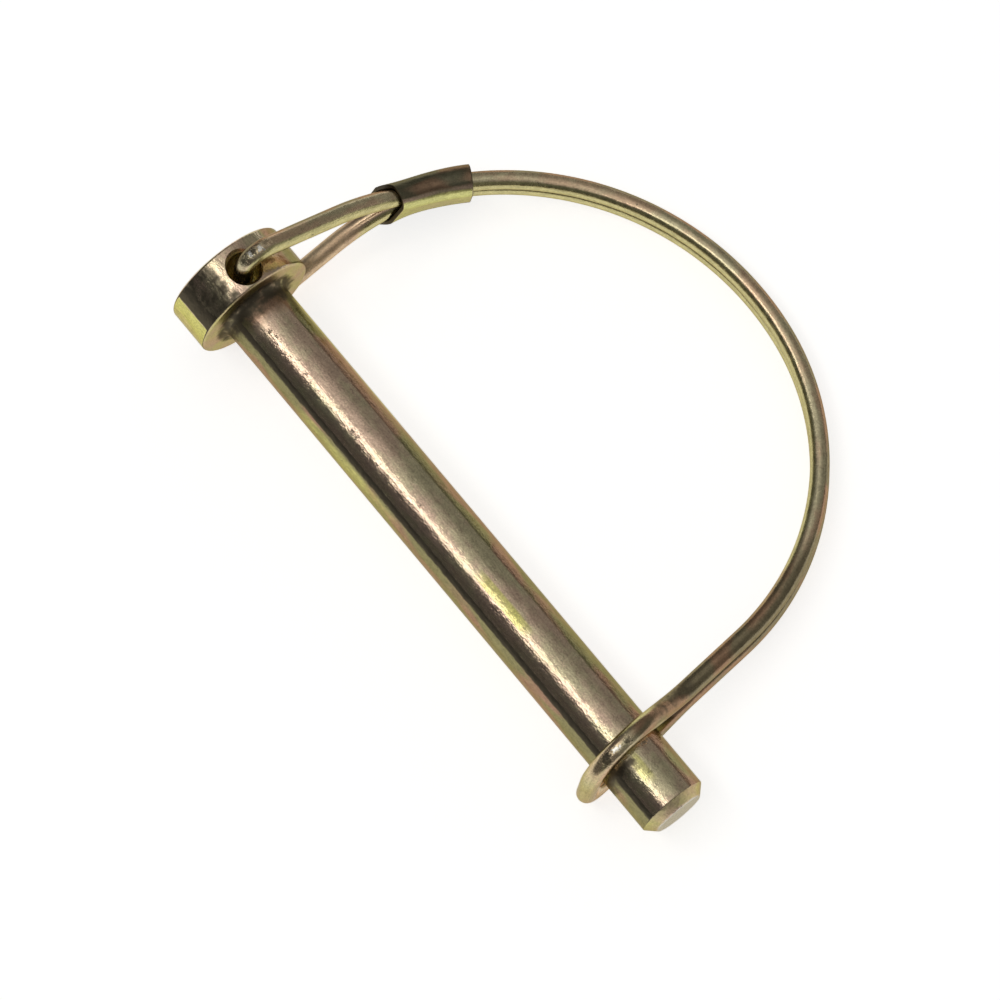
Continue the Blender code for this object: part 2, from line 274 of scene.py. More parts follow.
def meshPiece(name, mesh, material, body, node, sharpAngle):
    piece = bpy.data.objects.new(name, mesh)
    bpy.context.scene.collection.objects.link(piece)
    mesh.materials.append(material)
    mesh.shade_smooth()
    mesh.set_sharp_from_angle(angle=math.radians(sharpAngle))
    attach(piece, body)
    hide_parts(node)


def closeMesh(name, bm):
    bmesh.ops.recalc_face_normals(bm, faces=bm.faces)
    mesh = bpy.data.meshes.new(name)
    bm.to_mesh(mesh)
    bm.free()
    return mesh


def paintMasks(mesh, masks, grains):
    # Stores each vertex's masks, and its place on the metal as drawn: along it, and two ways across it.
    mesh.attributes.new("grain", "FLOAT_VECTOR", "POINT")
    for label in maskNames:
        mesh.attributes.new(label, "FLOAT", "POINT")
    mesh.attributes["grain"].data.foreach_set("vector", [part for grain in grains for part in grain])
    for label in maskNames:
        mesh.attributes[label].data.foreach_set("value", [mask.get(label, 0.0) for mask in masks])


def bend(before, corner, after, radius, step):
    # Points round a corner, at most step degrees apart.
    back = (before - corner).normalized()
    ahead = (after - corner).normalized()
    half = back.angle(ahead) / 2
    center = corner + (back + ahead).normalized() * radius / math.sin(half)
    start = corner + back * radius / math.tan(half) - center
    turn = math.pi - 2 * half
    axis = (-back).cross(ahead).normalized()
    count = max(2, math.ceil(turn / math.radians(step)))
    return [center + Matrix.Rotation(turn * i / count, 3, axis) @ start for i in range(count + 1)]


def divide(start, end, count):
    return [start.lerp(end, i / count) for i in range(1, count)]


def ease(part):
    part = min(1.0, max(0.0, part))
    return part * part * (3 - 2 * part)


def fadeIn(value, start, full, strength=1.0):
    return strength * ease((value - start) / (full - start))


def fadeOut(value, start, end, strength=1.0):
    return 1 - fadeIn(value, start, end, strength)


def band(value, start, full, fade, end, strength=1.0):
    return fadeIn(value, start, full, strength) * fadeOut(value, fade, end)


pinLook = {  # metres; the edge step and sharp angle in degrees
    "shankRadius": 0.00475, "shankLength": 0.0861,
    "headRadius": 0.00853, "headThickness": 0.00653, "headEdge": 0.0004,
    "rootFillet": 0.0011, "tipChamfer": 0.00135, "tipEdge": 0.00025,
    "holeRadius": 0.00215, "holeLip": 0.00025, "drillSpare": 0.001,
    "turnSteps": 224, "drillSteps": 96, "drillRings": 24, "edgeStep": 6, "sharpAngle": 40,
    # Rings from the tip's centre out, over its chamfer, the shank, the bearing face, the head's side and end
    "tipRings": 10, "chamferRings": 6, "shankRings": 60, "faceRings": 14, "sideRings": 26, "endRings": 12,
    # Fine rings that turning has left on the flat faces: radians per metre, depth, how flat the face is
    "turningWave": 21000.0, "turningDepth": 0.12, "turningFaces": (0.85, 0.97),
    "bumpDepth": 0.00005,
    "finish": {"Lines": 0.40, "Patch Size": 1.2, "Base Roughness": 0.18, "Grit": 0.45, "Wave": 1.20},
    "nicks": [
        ((0.00497, -0.00176, 0.0044), 0.00040, 1.2, 0.5, 0.0),
        ((0.00590, -0.00160, 0.0045), 0.00030, 1.0, 0.4, 0.0),
        ((0.01233, -0.00159, 0.00447), 0.00034, 0.9, 0.4, 0.0),
        ((0.02217, -0.00194, 0.00433), 0.00045, 1.2, 0.5, 0.0),
        ((0.02302, -0.0018, 0.00439), 0.00040, 1.2, 0.5, 0.0),
        ((0.0352, -0.0015, 0.0045), 0.00030, 0.9, 0.4, 0.0),
        ((0.0802, -0.0006, 0.0047), 0.00036, 0.5, 0.40, 0.0),
        ((0.0768, 0.0012, 0.0046), 0.00070, 0.4, 0.5, 0.0)],
    # Where a tone of the head starts and is full, and its strength below 1. Names with At go by the place
    # along the pin, in metres, and the others by how far a spot faces up to the arch, or down, away from it.
    # The head's dark tones are painted shade: a dark band on the flank facing down, and darkening on the
    # highlight's near side and by the front edge.
    "headDark": (0.66, 0.86), "headLine": (0.28, 0.42, 0.56), "headDarkEnd": (0.905, 0.925),
    "frontEdgeAt": (-0.0026, -0.0008), "frontEdge": (0.18, 0.34, 0.6),
    "headLime": (0.91, 0.93), "headLimeEnd": (0.970, 0.995, 0.3), "headShade": (0.50, 0.64),
    # The tones of the shank. Where there are four numbers, the tone also fades and ends.
    # The shank's dark band and the eye's shadow are painted shade.
    "shankDark": (0.725, 0.785, 0.82, 0.92),
    "eyeShadowAt": (0.0762, 0.0770, 0.0778, 0.0808), "eyeShadow": (0.10, 0.30, 0.7),
    "topLime": (0.78, 0.86, 0.5), "topLimeEndAt": (0.020, 0.034, 0.5),
    "greenAt": (0.0445, 0.049, 0.054, 0.060), "tipGreenAt": (0.0765, 0.0780, 0.0800, 0.083, 0.65),
    "green": (0.02, 0.15, 0.38, 0.46, 0.7),
    "underLimeAt": (0.010, 0.018, 0.032, 0.040), "underLime": (0.86, 0.93, 0.42),
    "topShade": (0.38, 0.53), "sideShade": (0.46, 0.68, 0.42), "underShade": (0.80, 0.88),
    "underLift": (0.975, 0.995, 0.25), "rootShadeEndAt": (0.0012, 0.0052), "deepShade": 0.95,
    # The corner at the shank's root is darkened as painted shade; its dull band is rougher.
    "rootCornerShadeAt": (-0.0001, 0.0, 0.0014, 0.0040, 0.72), "rootDullAt": (-0.0001, 0.0, 0.0025, 0.0065, 0.5),
    # How strongly the dark bands take the dark tone, as painted shade
    "darkBandShade": 1.1,
    # In the hole, and on the faces across the pin
    # The hole's walls are darkened as painted shade.
    "holeEdge": 0.0002, "mouthEnd": (-0.0008, -0.0002), "holeShade": 0.5, "faceTurn": 0.5,
    "chamfer": {"Lime Mask": 0.40, "Shade Mask": 0.52, "Dull Mask": 0.5}, "chamferEdge": 0.0002,
    "tipWear": 0.9, "headEnd": {"Lime Mask": 0.3}, "headEndAt": -0.001,
    "bearingFace": {"Lime Mask": 0.40, "Shade Mask": 0.45, "Dull Mask": 0.4},
    # The fillet by the shank is darkened as painted shade.
    "filletShade": 0.70, "filletShadeEnd": (0.0008, 0.0026),
}


def pinProfile(look):
    # Half profile (X along the pin, Y out from its axis), from the tip's centre to the head's centre.
    length, radius, chamfer = look["shankLength"], look["shankRadius"], look["tipChamfer"]
    head, thick = look["headRadius"], look["headThickness"]
    corners = [((length, radius - chamfer), look["tipEdge"], look["chamferRings"]),
               ((length - chamfer, radius), look["tipEdge"], look["shankRings"]),
               ((0.0, radius), look["rootFillet"], look["faceRings"]),
               ((0.0, head), look["headEdge"], look["sideRings"]),
               ((-thick, head), look["headEdge"], look["endRings"])]
    ends = [(length, 0.0)] + [place for place, rounding, rings in corners] + [(-thick, 0.0)]
    ends = [Vector((along, out, 0.0)) for along, out in ends]
    arcs = [bend(*ends[i:i + 3], rounding, look["edgeStep"])
            for i, (place, rounding, rings) in enumerate(corners)]
    points = [ends[0]] + divide(ends[0], arcs[0][0], look["tipRings"])
    followers = [arc[0] for arc in arcs[1:]] + [ends[-1]]
    for arc, following, (place, rounding, rings) in zip(arcs, followers, corners):
        points += arc + divide(arc[-1], following, rings)
    return points + [ends[-1]]


def turnedMesh(profile, steps):
    bm = bmesh.new()
    rings = []
    for point in profile:
        if point.y < 1e-7:  # on the axis
            rings.append([bm.verts.new((point.x, 0.0, 0.0))])
            continue
        rings.append([bm.verts.new((point.x, point.y * math.cos(math.tau * i / steps),
                                    point.y * math.sin(math.tau * i / steps))) for i in range(steps)])
    for ring, following in zip(rings, rings[1:]):
        for i in range(steps):
            j = (i + 1) % steps
            corners = [ring[i % len(ring)], ring[j % len(ring)],
                       following[j % len(following)], following[i % len(following)]]
            bm.faces.new(list(dict.fromkeys(corners)))
    return bm


def drillMesh(look):
    # The cutter of the hole, which also rounds the lips of its two mouths.
    radius, lip, step = look["holeRadius"], look["holeLip"], look["edgeStep"]
    reach = look["headRadius"] + look["drillSpare"]
    mouth = math.sqrt(look["headRadius"] ** 2 - radius ** 2) - lip
    wide = radius + reach - mouth
    ends = [Vector((reach, 0, 0)), Vector((reach, wide, 0)), Vector((mouth, radius, 0)),
            Vector((-mouth, radius, 0)), Vector((-reach, wide, 0)), Vector((-reach, 0, 0))]
    upper = bend(*ends[1:4], lip, step)
    lower = bend(*ends[2:5], lip, step)
    profile = ends[:2] + upper + divide(upper[-1], lower[0], look["drillRings"]) + lower + ends[4:]
    return closeMesh("drill", turnedMesh(profile, look["drillSteps"]))


def holedMesh(body, cutter, place):
    # The body's mesh less the cutter's, as a new mesh.
    things = [bpy.data.objects.new("turning", body), bpy.data.objects.new("drilling", cutter)]
    for thing in things:
        bpy.context.scene.collection.objects.link(thing)
    things[1].matrix_world = place
    cut = things[0].modifiers.new("hole", "BOOLEAN")
    cut.operation = "DIFFERENCE"
    cut.solver = "EXACT"
    cut.object = things[1]
    bpy.context.view_layer.update()
    graph = bpy.context.evaluated_depsgraph_get()
    mesh = bpy.data.meshes.new_from_object(things[0].evaluated_get(graph))
    for thing in things:
        bpy.data.objects.remove(thing, do_unlink=True)
    mesh.materials.clear()
    return mesh


def headTones(look, along, down):
    frontEdge = fadeIn(along, *look["frontEdgeAt"]) * fadeIn(down, *look["frontEdge"])
    # Painted shade: a dark band on the flank, and darkening on the highlight's side and by the front edge
    dark = max(fadeIn(down, *look["headDark"]), fadeIn(down, *look["headLine"]), frontEdge)
    dark *= fadeOut(down, *look["headDarkEnd"])
    lime = fadeIn(down, *look["headLime"]) * fadeOut(down, *look["headLimeEnd"])
    return dark, lime, fadeIn(-down, *look["headShade"])


def shankTones(look, along, down):
    eyeShadow = band(along, *look["eyeShadowAt"]) * fadeIn(down, *look["eyeShadow"])
    green = max(band(along, *look["greenAt"]), band(along, *look["tipGreenAt"])) * band(down, *look["green"])
    topLime = fadeIn(-down, *look["topLime"]) * fadeOut(along, *look["topLimeEndAt"])
    lime = max(topLime, green, band(along, *look["underLimeAt"]) * fadeIn(down, *look["underLime"]))
    under = fadeIn(down, *look["underShade"]) * (look["deepShade"] - fadeIn(down, *look["underLift"]))
    shade = max(fadeIn(-down, *look["topShade"]) * (1 - lime), fadeIn(down, *look["sideShade"]), under,
                look["deepShade"] * fadeOut(along, *look["rootShadeEndAt"]))
    # The dark band beside the highlight and the eye's shadow are painted shade
    return max(band(down, *look["shankDark"]), eyeShadow), lime, shade


def endMasks(look, along, out):
    # The faces across the pin: chamfer and tip's end, bearing face and fillet, and the head's end.
    if along > look["shankLength"] / 2:
        neck = look["shankRadius"] - look["tipChamfer"]
        chamfer = fadeIn(out, neck, neck + look["chamferEdge"])
        masks = {label: strength * chamfer for label, strength in look["chamfer"].items()}
        return {**masks, "Wear Mask": look["tipWear"] * (1 - chamfer)}
    if along > look["headEndAt"]:
        # The fillet by the shank is darkened as painted shade.
        fillet = fadeOut(out - look["shankRadius"], *look["filletShadeEnd"])
        return {**look["bearingFace"], "Dirt And Shade Mask": look["filletShade"] * fillet}
    return look["headEnd"]


def pinMasks(look, place, normal):
    out = math.hypot(place.y, place.z)
    if abs(normal.x) > look["faceTurn"]:
        return endMasks(look, place.x, out)
    tones = headTones if place.x < 0.0 else shankTones
    dark, lime, shade = tones(look, place.x, -normal.y)
    fromWall = math.hypot(place.x + holeSetback, place.y) - look["holeRadius"]
    inHole = fadeOut(fromWall, 0.0, look["holeEdge"]) * fadeOut(out - look["headRadius"], *look["mouthEnd"])
    # Painted shade in the dark tone: the corner at the shank's root, the hole's walls and the dark bands
    dirtAndShade = max(band(place.x, *look["rootCornerShadeAt"]), look["holeShade"] * inHole, look["darkBandShade"] * dark)
    return {"Lime Mask": lime, "Shade Mask": shade, "Dirt And Shade Mask": dirtAndShade,
            "Dull Mask": band(place.x, *look["rootDullAt"])}


def makePin(look):
    def turningRings(tree, grain):
        parts = addNode(tree, "ShaderNodeSeparateXYZ", None, {"Vector": grain}).outputs
        across = addNode(tree, "ShaderNodeCombineXYZ", None, {"Y": parts["Y"], "Z": parts["Z"]}).outputs[0]
        radius = vectorNode(tree, "LENGTH", across, output="Value")
        rings = mathNode(tree, "SINE", mathNode(tree, "MULTIPLY", radius, look["turningWave"]))
        rings = mathNode(tree, "MULTIPLY", rings, look["turningDepth"])
        return mathNode(tree, "MULTIPLY", rings, attribute(tree, "faceMask"))

    across = Matrix.Translation((-holeSetback, 0, 0)) @ Matrix.Rotation(-math.pi / 2, 4, "Y")
    body = closeMesh("turning", turnedMesh(pinProfile(look), look["turnSteps"]))
    mesh = holedMesh(body, drillMesh(look), across)
    masks = [pinMasks(look, vertex.co, vertex.normal) for vertex in mesh.vertices]
    facing = [fadeIn(abs(vertex.normal.x), *look["turningFaces"]) for vertex in mesh.vertices]
    paintMasks(mesh, masks, [vertex.co.copy() for vertex in mesh.vertices])
    mesh.attributes.new("faceMask", "FLOAT", "POINT").data.foreach_set("value", facing)
    mesh.transform(pinFrame)
    material = platedMaterial("pinPlating", look, turningRings)
    meshPiece("pinBody", mesh, material, "pin", "lock_pin", look["sharpAngle"])


makePin(pinLook)
print("pin made")

wireLook = {  # metres; the lean, headings, turn and bend step in degrees
    "radius": 0.00128, "strandGap": 0.0001, "lean": -8.5, "step": 0.0004, "bendStep": 4, "sides": 32,
    "legHeading": 87.35, "legRun": 0.0149, "upperRise": 0.0035, "lowerRise": 0.0026,
    "hookRadius": 0.0026, "hookDepth": 0.0068, "joinAt": 0.0250, "joinEase": 0.0010,
    "shoulderRadius": 0.0351, "shoulderTurn": 75.7, "eyeHeading": -84.9,
    "eyeFromTip": 0.0106, "eyeClearance": 0.0004, "eyeSlack": 0.0005, "eyeTaper": 0.0112,
    "eyeUpperBend": 0.0060, "eyeLowerBend": 0.0031,
    "hookRings": 16, "legRings": 18, "eyeRings": 6, "sharpAngle": 50,
    "bumpDepth": 0.00004,
    "finish": {"Lines": 0.35, "Patch Size": 0.9, "Base Roughness": 0.25, "Wave": 0.8,
               "Rose": (0.66, 0.48, 0.32, 1), "Lime": (0.51, 0.46, 0.23, 1),
               "Flank Brown": (0.34, 0.215, 0.135, 1), "Flank Olive": (0.25, 0.21, 0.13, 1)},
    "toolMarks": [  # place, way the flat faces, reach and depth of each mark of the bending tool
        ((-0.0029, 0.0011, 0.0116), (-0.2, -0.35, 0.92), 0.0014, 0.00010),
        ((0.0757, -0.0030, 0.0071), (-0.2, -0.35, 0.9), 0.0014, 0.00010)],
    "markReach": 1.25, "markFacing": (0.55, 0.9), "ripple": 0.8, "rippleSwing": 0.5, "rippleScale": 1600,
    "nicks": [
        ((-0.00303, 0.00133, 0.01168), 0.00060, 1.6, 0.9, 0.0),
        ((-0.00288, 0.00347, 0.01181), 0.00070, 1.2, 0.45, 0.0),
        ((-0.00357, 0.00285, 0.01159), 0.00060, 1.0, 0.45, 0.0),
        ((-0.0030, -0.0002, 0.01070), 0.00080, 0.8, 0.5, 0.0),
        ((-0.00294, 0.00083, 0.01148), 0.00055, 0.4, 0.0, 0.9),
        ((-0.00261, 0.00226, 0.0119), 0.00060, 0.6, 0.0, 0.9),
        ((0.07588, -0.00103, 0.00758), 0.00070, 1.4, 0.6, 0.0),
        ((0.07598, -0.00457, 0.00638), 0.00110, 1.0, 0.6, 0.0),
        ((0.0756, -0.0040, 0.0067), 0.00080, 0.8, 0.5, 0.0),
        ((0.07572, -0.00301, 0.00719), 0.00060, 0.3, 0.0, 0.9),
        ((0.0758, -0.0023, 0.0074), 0.00045, 0.4, 0.0, 0.8)],
    # The tones, given as for the pin, but only eyeSideAt goes by the place along it, and the other names with
    # At by the place across it. Out faces away from a point inside the arch, and in faces to it.
    "archMiddle": (0.038, 0.010, 0.0), "outShade": (0.25, 0.70),
    "inLime": (0.35, 0.75), "inShade": (0.2, 0.6, 0.85),
    "eyeMiddle": (0.0755, 0.0, 0.0), "nearEye": (0.012, 0.022), "eyeLift": 0.6, "eyeLime": (0.2, 0.6, 0.5),
    "eyeSideAt": (0.066, 0.072),
    "lastRunAt": (0.003, 0.006, 0.030, 0.036), "lastRunShade": 0.72, "lastRunLime": 0.7,
    "overShankAt": (-0.002, 0.002), "overShank": (0.1, 0.5, 0.9),
    # The up-facing slope down to the eye is darkened as painted shade over its highlight.
    "slopeAt": (0.002, 0.006, 0.011, 0.016, 0.46), "slope": (0.3, 0.7),
    "legsEndAt": (0.016, 0.020), "legShade": 0.35, "lowerLegDull": 0.65, "middleEase": (0.0, 0.001),
    # Deep in the hole the wire is darkened as painted shade.
    "holeReach": 0.0021, "holeShade": (0.0018, 0.0040, 0.6), "holeLime": 0.6,
}
strandOffset = wireLook["radius"] + wireLook["strandGap"] / 2
eyeHalf = pinLook["shankRadius"] + wireLook["eyeClearance"] + wireLook["radius"]


def turnStep(radius, start, end):
    # The way from end to end of an arc that turns right, from one heading to another.
    return Vector((math.sin(start) - math.sin(end), math.cos(end) - math.cos(start))) * radius


def pairStretches(look):
    # The two strands' common line in the pin's XY plane, as (length, heading, radius or None): up the leg,
    # over the arch and the shoulder, and down to the eye. The arch and the last run are sized to meet it.
    legHeading, eyeHeading = math.radians(look["legHeading"]), math.radians(look["eyeHeading"])
    archEnd = eyeHeading + math.radians(look["shoulderTurn"])
    span = holeSetback + pinLook["shankLength"] - look["eyeFromTip"]
    leg = Vector((math.cos(legHeading), math.sin(legHeading))) * look["legRun"]
    shoulder = turnStep(look["shoulderRadius"], archEnd, eyeHeading)
    arch = turnStep(1.0, legHeading, archEnd)
    run = Vector((math.cos(eyeHeading), math.sin(eyeHeading)))
    rest = Vector((span, 0.0)) - leg - shoulder
    area = arch.x * run.y - arch.y * run.x
    archRadius = (rest.x * run.y - rest.y * run.x) / area
    lastRun = (arch.x * rest.y - arch.y * rest.x) / area
    shoulderLength = look["shoulderRadius"] * math.radians(look["shoulderTurn"])
    return [(look["legRun"], legHeading, None),
            (archRadius * (legHeading - archEnd), legHeading, archRadius),
            (shoulderLength, archEnd, look["shoulderRadius"]),
            (lastRun, eyeHeading, None)]


stretches = pairStretches(wireLook)
eyeAt = sum(stretch[0] for stretch in stretches)


def pairAt(along):
    # The common line's point and heading at a run; the last stretch goes straight on past its end.
    point = Vector((0.0, 0.0))
    for index, (length, heading, radius) in enumerate(stretches):
        last = index == len(stretches) - 1
        run = along if last else min(along, length)
        if radius is None:
            point += Vector((math.cos(heading), math.sin(heading))) * run
        else:
            end = heading - run / radius
            point += turnStep(radius, heading, end)
            heading = end
        along -= run
        if along <= 0.0:
            break
    return point, heading


def besidePair(along, shift, height):
    # The point in the pin's frame that lies beside the common line, in its plane and above it.
    point, heading = pairAt(along)
    return Vector((point.x - math.sin(heading) * shift - holeSetback,
                   point.y + math.cos(heading) * shift, height))


def strandOffsets(along, side):
    # How far the upper (1) or lower (-1) strand lies beside the common line, and how far above it.
    look = wireLook
    rise = look["upperRise"] if side > 0 else look["lowerRise"]
    half = eyeHalf if side > 0 else eyeHalf + look["eyeSlack"]
    slope = (pinLook["headRadius"] + rise - strandOffset) / look["joinAt"]
    splay = slope * look["joinEase"] * math.log1p(math.exp((look["joinAt"] - along) / look["joinEase"]))
    opening = ease((along - eyeAt + look["eyeTaper"]) / look["eyeTaper"])
    lean = ease(along / look["joinAt"]) * (1 - opening)
    shift = side * strandOffset * math.sin(math.radians(look["lean"])) * lean
    return shift, side * (strandOffset + splay + (half - strandOffset) * opening)


def strandAt(along, side):
    return besidePair(along, *strandOffsets(along, side))


def hookPoints(side):
    # From the wire's end in the hole, out round the hook and half way up the leg.
    look = wireLook
    corner = strandAt(0.0, side)
    corner.x, corner.y = -holeSetback, 0.0
    end = Vector((-holeSetback, 0.0, side * (pinLook["headRadius"] - look["hookDepth"])))
    leg = strandAt(look["legRun"] / 2, side)
    arc = bend(end, corner, leg, look["hookRadius"], look["bendStep"])
    return [end] + divide(end, arc[0], look["hookRings"]) + arc + divide(arc[-1], leg, look["legRings"])


def wireLine():
    look = wireLook
    start = look["legRun"] / 2
    count = math.ceil((eyeAt - start) / look["step"])
    stations = [start + (eyeAt - start) * i / count for i in range(count + 1)]
    upper = hookPoints(1) + [strandAt(along, 1) for along in stations]
    lower = hookPoints(-1) + [strandAt(along, -1) for along in stations]
    heading = math.radians(look["eyeHeading"])
    run = Vector((math.cos(heading), math.sin(heading), 0.0))
    upperCorner = upper[-1] + run * eyeHalf
    lowerCorner = lower[-1] + run * eyeHalf
    eye = bend(upper[-1], upperCorner, lowerCorner, look["eyeUpperBend"], look["bendStep"])
    far = bend(upperCorner, lowerCorner, lower[-1], look["eyeLowerBend"], look["bendStep"])
    return upper + eye + divide(eye[-1], far[0], look["eyeRings"]) + far + lower[::-1]


def toolDent(spot, out):
    # How deep the bending tool has pressed in a spot that faces out.
    look = wireLook
    depth = 0.0
    for place, facing, reach, deep in look["toolMarks"]:
        near = ease(look["markReach"] - (spot - Vector(place)).length / reach)
        level = fadeIn(out.dot(Vector(facing).normalized()), *look["markFacing"])
        ripple = look["ripple"] + look["rippleSwing"] * noise.noise(spot * look["rippleScale"])
        depth = max(depth, deep * near * level * ripple)
    return depth


def sweptMesh(line, radius, sides, dent):
    # Tube along a line, with every vertex's place on the straight wire: its run, and two ways across it.
    bm = bmesh.new()
    tangents = []
    for i in range(len(line)):
        before, after = line[max(i - 1, 0)], line[min(i + 1, len(line) - 1)]
        tangents.append((after - before).normalized())
    side = tangents[0].orthogonal().normalized()
    rings = []
    grains = []
    run = 0.0
    for i, (point, tangent) in enumerate(zip(line, tangents)):
        run += (point - line[max(i - 1, 0)]).length
        side = (side - tangent * side.dot(tangent)).normalized()
        across = tangent.cross(side)
        ring = []
        for j in range(sides):
            angle = math.tau * j / sides
            out = side * math.cos(angle) + across * math.sin(angle)
            spot = point + out * radius
            ring.append(bm.verts.new(spot - out * dent(spot, out)))
            grains.append((run, radius * math.cos(angle), radius * math.sin(angle)))
        rings.append(ring)
    for ring, following in zip(rings, rings[1:]):
        for j in range(sides):
            k = (j + 1) % sides
            bm.faces.new((ring[j], ring[k], following[k], following[j]))
    for ring in (rings[0], rings[-1]):
        bm.faces.new(ring)
    return bm, grains


def wireMasks(look, place, normal):
    outward = place - Vector(look["archMiddle"])
    outward.z = 0.0
    facing = normal.dot(outward.normalized())
    nearEye = fadeOut((place - Vector(look["eyeMiddle"])).length, *look["nearEye"])
    eyeSide = fadeIn(place.x, *look["eyeSideAt"])
    lastRun = eyeSide * band(place.y, *look["lastRunAt"])
    overShank = eyeSide * fadeIn(place.y, *look["overShankAt"]) * fadeIn(normal.z, *look["overShank"])
    legs = fadeOut(place.y, *look["legsEndAt"]) * (1 - eyeSide)
    lowerLeg = legs * fadeIn(-place.z, *look["middleEase"])
    inShade = fadeIn(-facing, *look["inShade"])
    shade = max(fadeIn(facing, *look["outShade"]) * (1 - look["eyeLift"] * nearEye),
                look["lastRunShade"] * lastRun, overShank, look["legShade"] * legs,
                lowerLeg * inShade, lastRun * inShade) * (1 - lowerLeg)
    lime = fadeIn(-facing, *look["inLime"]) * (1 - look["lastRunLime"] * lastRun) * (1 - lowerLeg)
    lime = max(lime, nearEye * fadeIn(-normal.y, *look["eyeLime"]))
    # Painted shade over the highlight on the slope down to the eye
    dirtAndShade = eyeSide * band(place.y, *look["slopeAt"]) * fadeIn(normal.z, *look["slope"])
    dirtAndShade *= fadeIn(place.z, *look["middleEase"])
    depth = pinLook["headRadius"] - abs(place.z)
    # Deep in the hole the wire is darkened as painted shade
    if math.hypot(place.x + holeSetback, place.y) < look["holeReach"] and depth > 0:
        dirtAndShade = fadeIn(depth, *look["holeShade"])
        lime = max(lime, look["holeLime"])
    return {"Lime Mask": lime, "Shade Mask": shade, "Dirt And Shade Mask": dirtAndShade,
            "Dull Mask": look["lowerLegDull"] * lowerLeg}


def makeWire(look):
    bm, grains = sweptMesh(wireLine(), look["radius"], look["sides"], toolDent)
    mesh = closeMesh("wireLoop", bm)
    paintMasks(mesh, [wireMasks(look, vertex.co, vertex.normal) for vertex in mesh.vertices], grains)
    mesh.transform(pinFrame)
    material = platedMaterial("wirePlating", look)
    meshPiece("wireLoop", mesh, material, "loop", "spring_wire", look["sharpAngle"])


makeWire(wireLook)
print("wire made")

sleeveLook = {
    "start": 0.0232, "length": 0.0111, "slantUp": 0.227, "slantOut": -0.24, "sheet": 0.0005,
    "tongue": 0.0022, "tongueFrom": 0.0014, "tongueTo": -0.0005, "lift": 0.00015,
    "clearance": 0.0002, "swell": 0.0002, "rings": 56, "bendSteps": 22, "edge": 0.00008, "edgeMiddle": 0.3,
    "bumpDepth": 0.00005, "sharpAngle": 35,
    "nicks": [],
    "finish": {"Lines": 0.2, "Patch Size": 0.8, "Base Roughness": 0.3, "Lime": (0.55, 0.54, 0.22, 1),
               "Flank Brown": (0.21, 0.14, 0.09, 1), "Flank Olive": (0.14, 0.13, 0.085, 1)},
    # The tones, by the way that the sheet faces, the share of the sleeve's run and the share of the sheet
    "inLime": (0.68, 0.84), "inLimeOver": (-0.25, -0.05),
    "outShade": (-0.68, -0.48, 0.95), "leastShade": 0.35,
    # The cut ends are darker; the inner face and the underside are darkened as painted shade.
    "firstCut": (0.002, 0.012), "lastCut": (0.985, 0.997), "cutEdgeDark": 0.9,
    "innerFace": (0.1, 0.5), "bottomShade": (0.10, 0.35, 0.8),
}


def sleeveOutline(along, swell, look):
    # The section's inner outline round the two strands: points (aside, up) and the way that each faces.
    reach = wireLook["radius"] + look["clearance"] + swell
    upper = Vector(strandOffsets(along, 1))
    lower = Vector(strandOffsets(along, -1))
    lean = math.atan2(upper.x - lower.x, upper.y - lower.y)
    outline = []
    for center, start in ((upper, -lean), (lower, math.pi - lean)):
        for i in range(look["bendSteps"] + 1):
            angle = start + math.pi * i / look["bendSteps"]
            way = Vector((math.cos(angle), math.sin(angle)))
            outline.append((center + way * reach, way))
    return outline


def sleeveSlant(spot, along, swell, look):
    # How much further along the first end is cut at a spot: aslant, with a tongue on the loop's outer side.
    reach = wireLook["radius"] + look["clearance"] + swell
    over = spot.y - strandOffsets(along, 1)[1]
    tongue = ease((look["tongueFrom"] - over) / (look["tongueFrom"] - look["tongueTo"]))
    tongue *= ease((spot.x + reach) / (2 * reach))
    return look["slantUp"] * spot.y + look["slantOut"] * spot.x - look["tongue"] * tongue


def sleeveRows(look):
    # Runs along the sleeve and heights over its inner face, once round the sheet: outside, end, inside, end.
    length, sheet, edge = look["length"], look["sheet"], look["edge"]
    middle = edge * look["edgeMiddle"]  # half way round the rounded edge of the sheet
    outside = [length * i / look["rings"] for i in range(1, look["rings"])]
    rows = [(0.0, sheet - edge), (middle, sheet - middle), (edge, sheet)]
    rows += [(run, sheet) for run in outside]
    rows += [(length - edge, sheet), (length - middle, sheet - middle), (length, sheet - edge)]
    rows += [(length, 0.0)] + [(run, 0.0) for run in reversed(outside)] + [(0.0, 0.0)]
    return rows


def sleeveMasks(look, part, out, way):
    cutEdge = max(fadeOut(part, *look["firstCut"]), fadeIn(part, *look["lastCut"]))
    lime = fadeIn(-way.x, *look["inLime"]) * fadeIn(way.y, *look["inLimeOver"])
    # Darker cut ends, and painted shade on the inner face and the underside
    dirtAndShade = max(look["cutEdgeDark"] * cutEdge, fadeOut(out / look["sheet"], *look["innerFace"]),
                fadeIn(-way.y, *look["bottomShade"]))
    return {"Lime Mask": lime * (1 - cutEdge), "Dirt And Shade Mask": dirtAndShade,
            "Shade Mask": max(fadeIn(way.x, *look["outShade"]), look["leastShade"])}


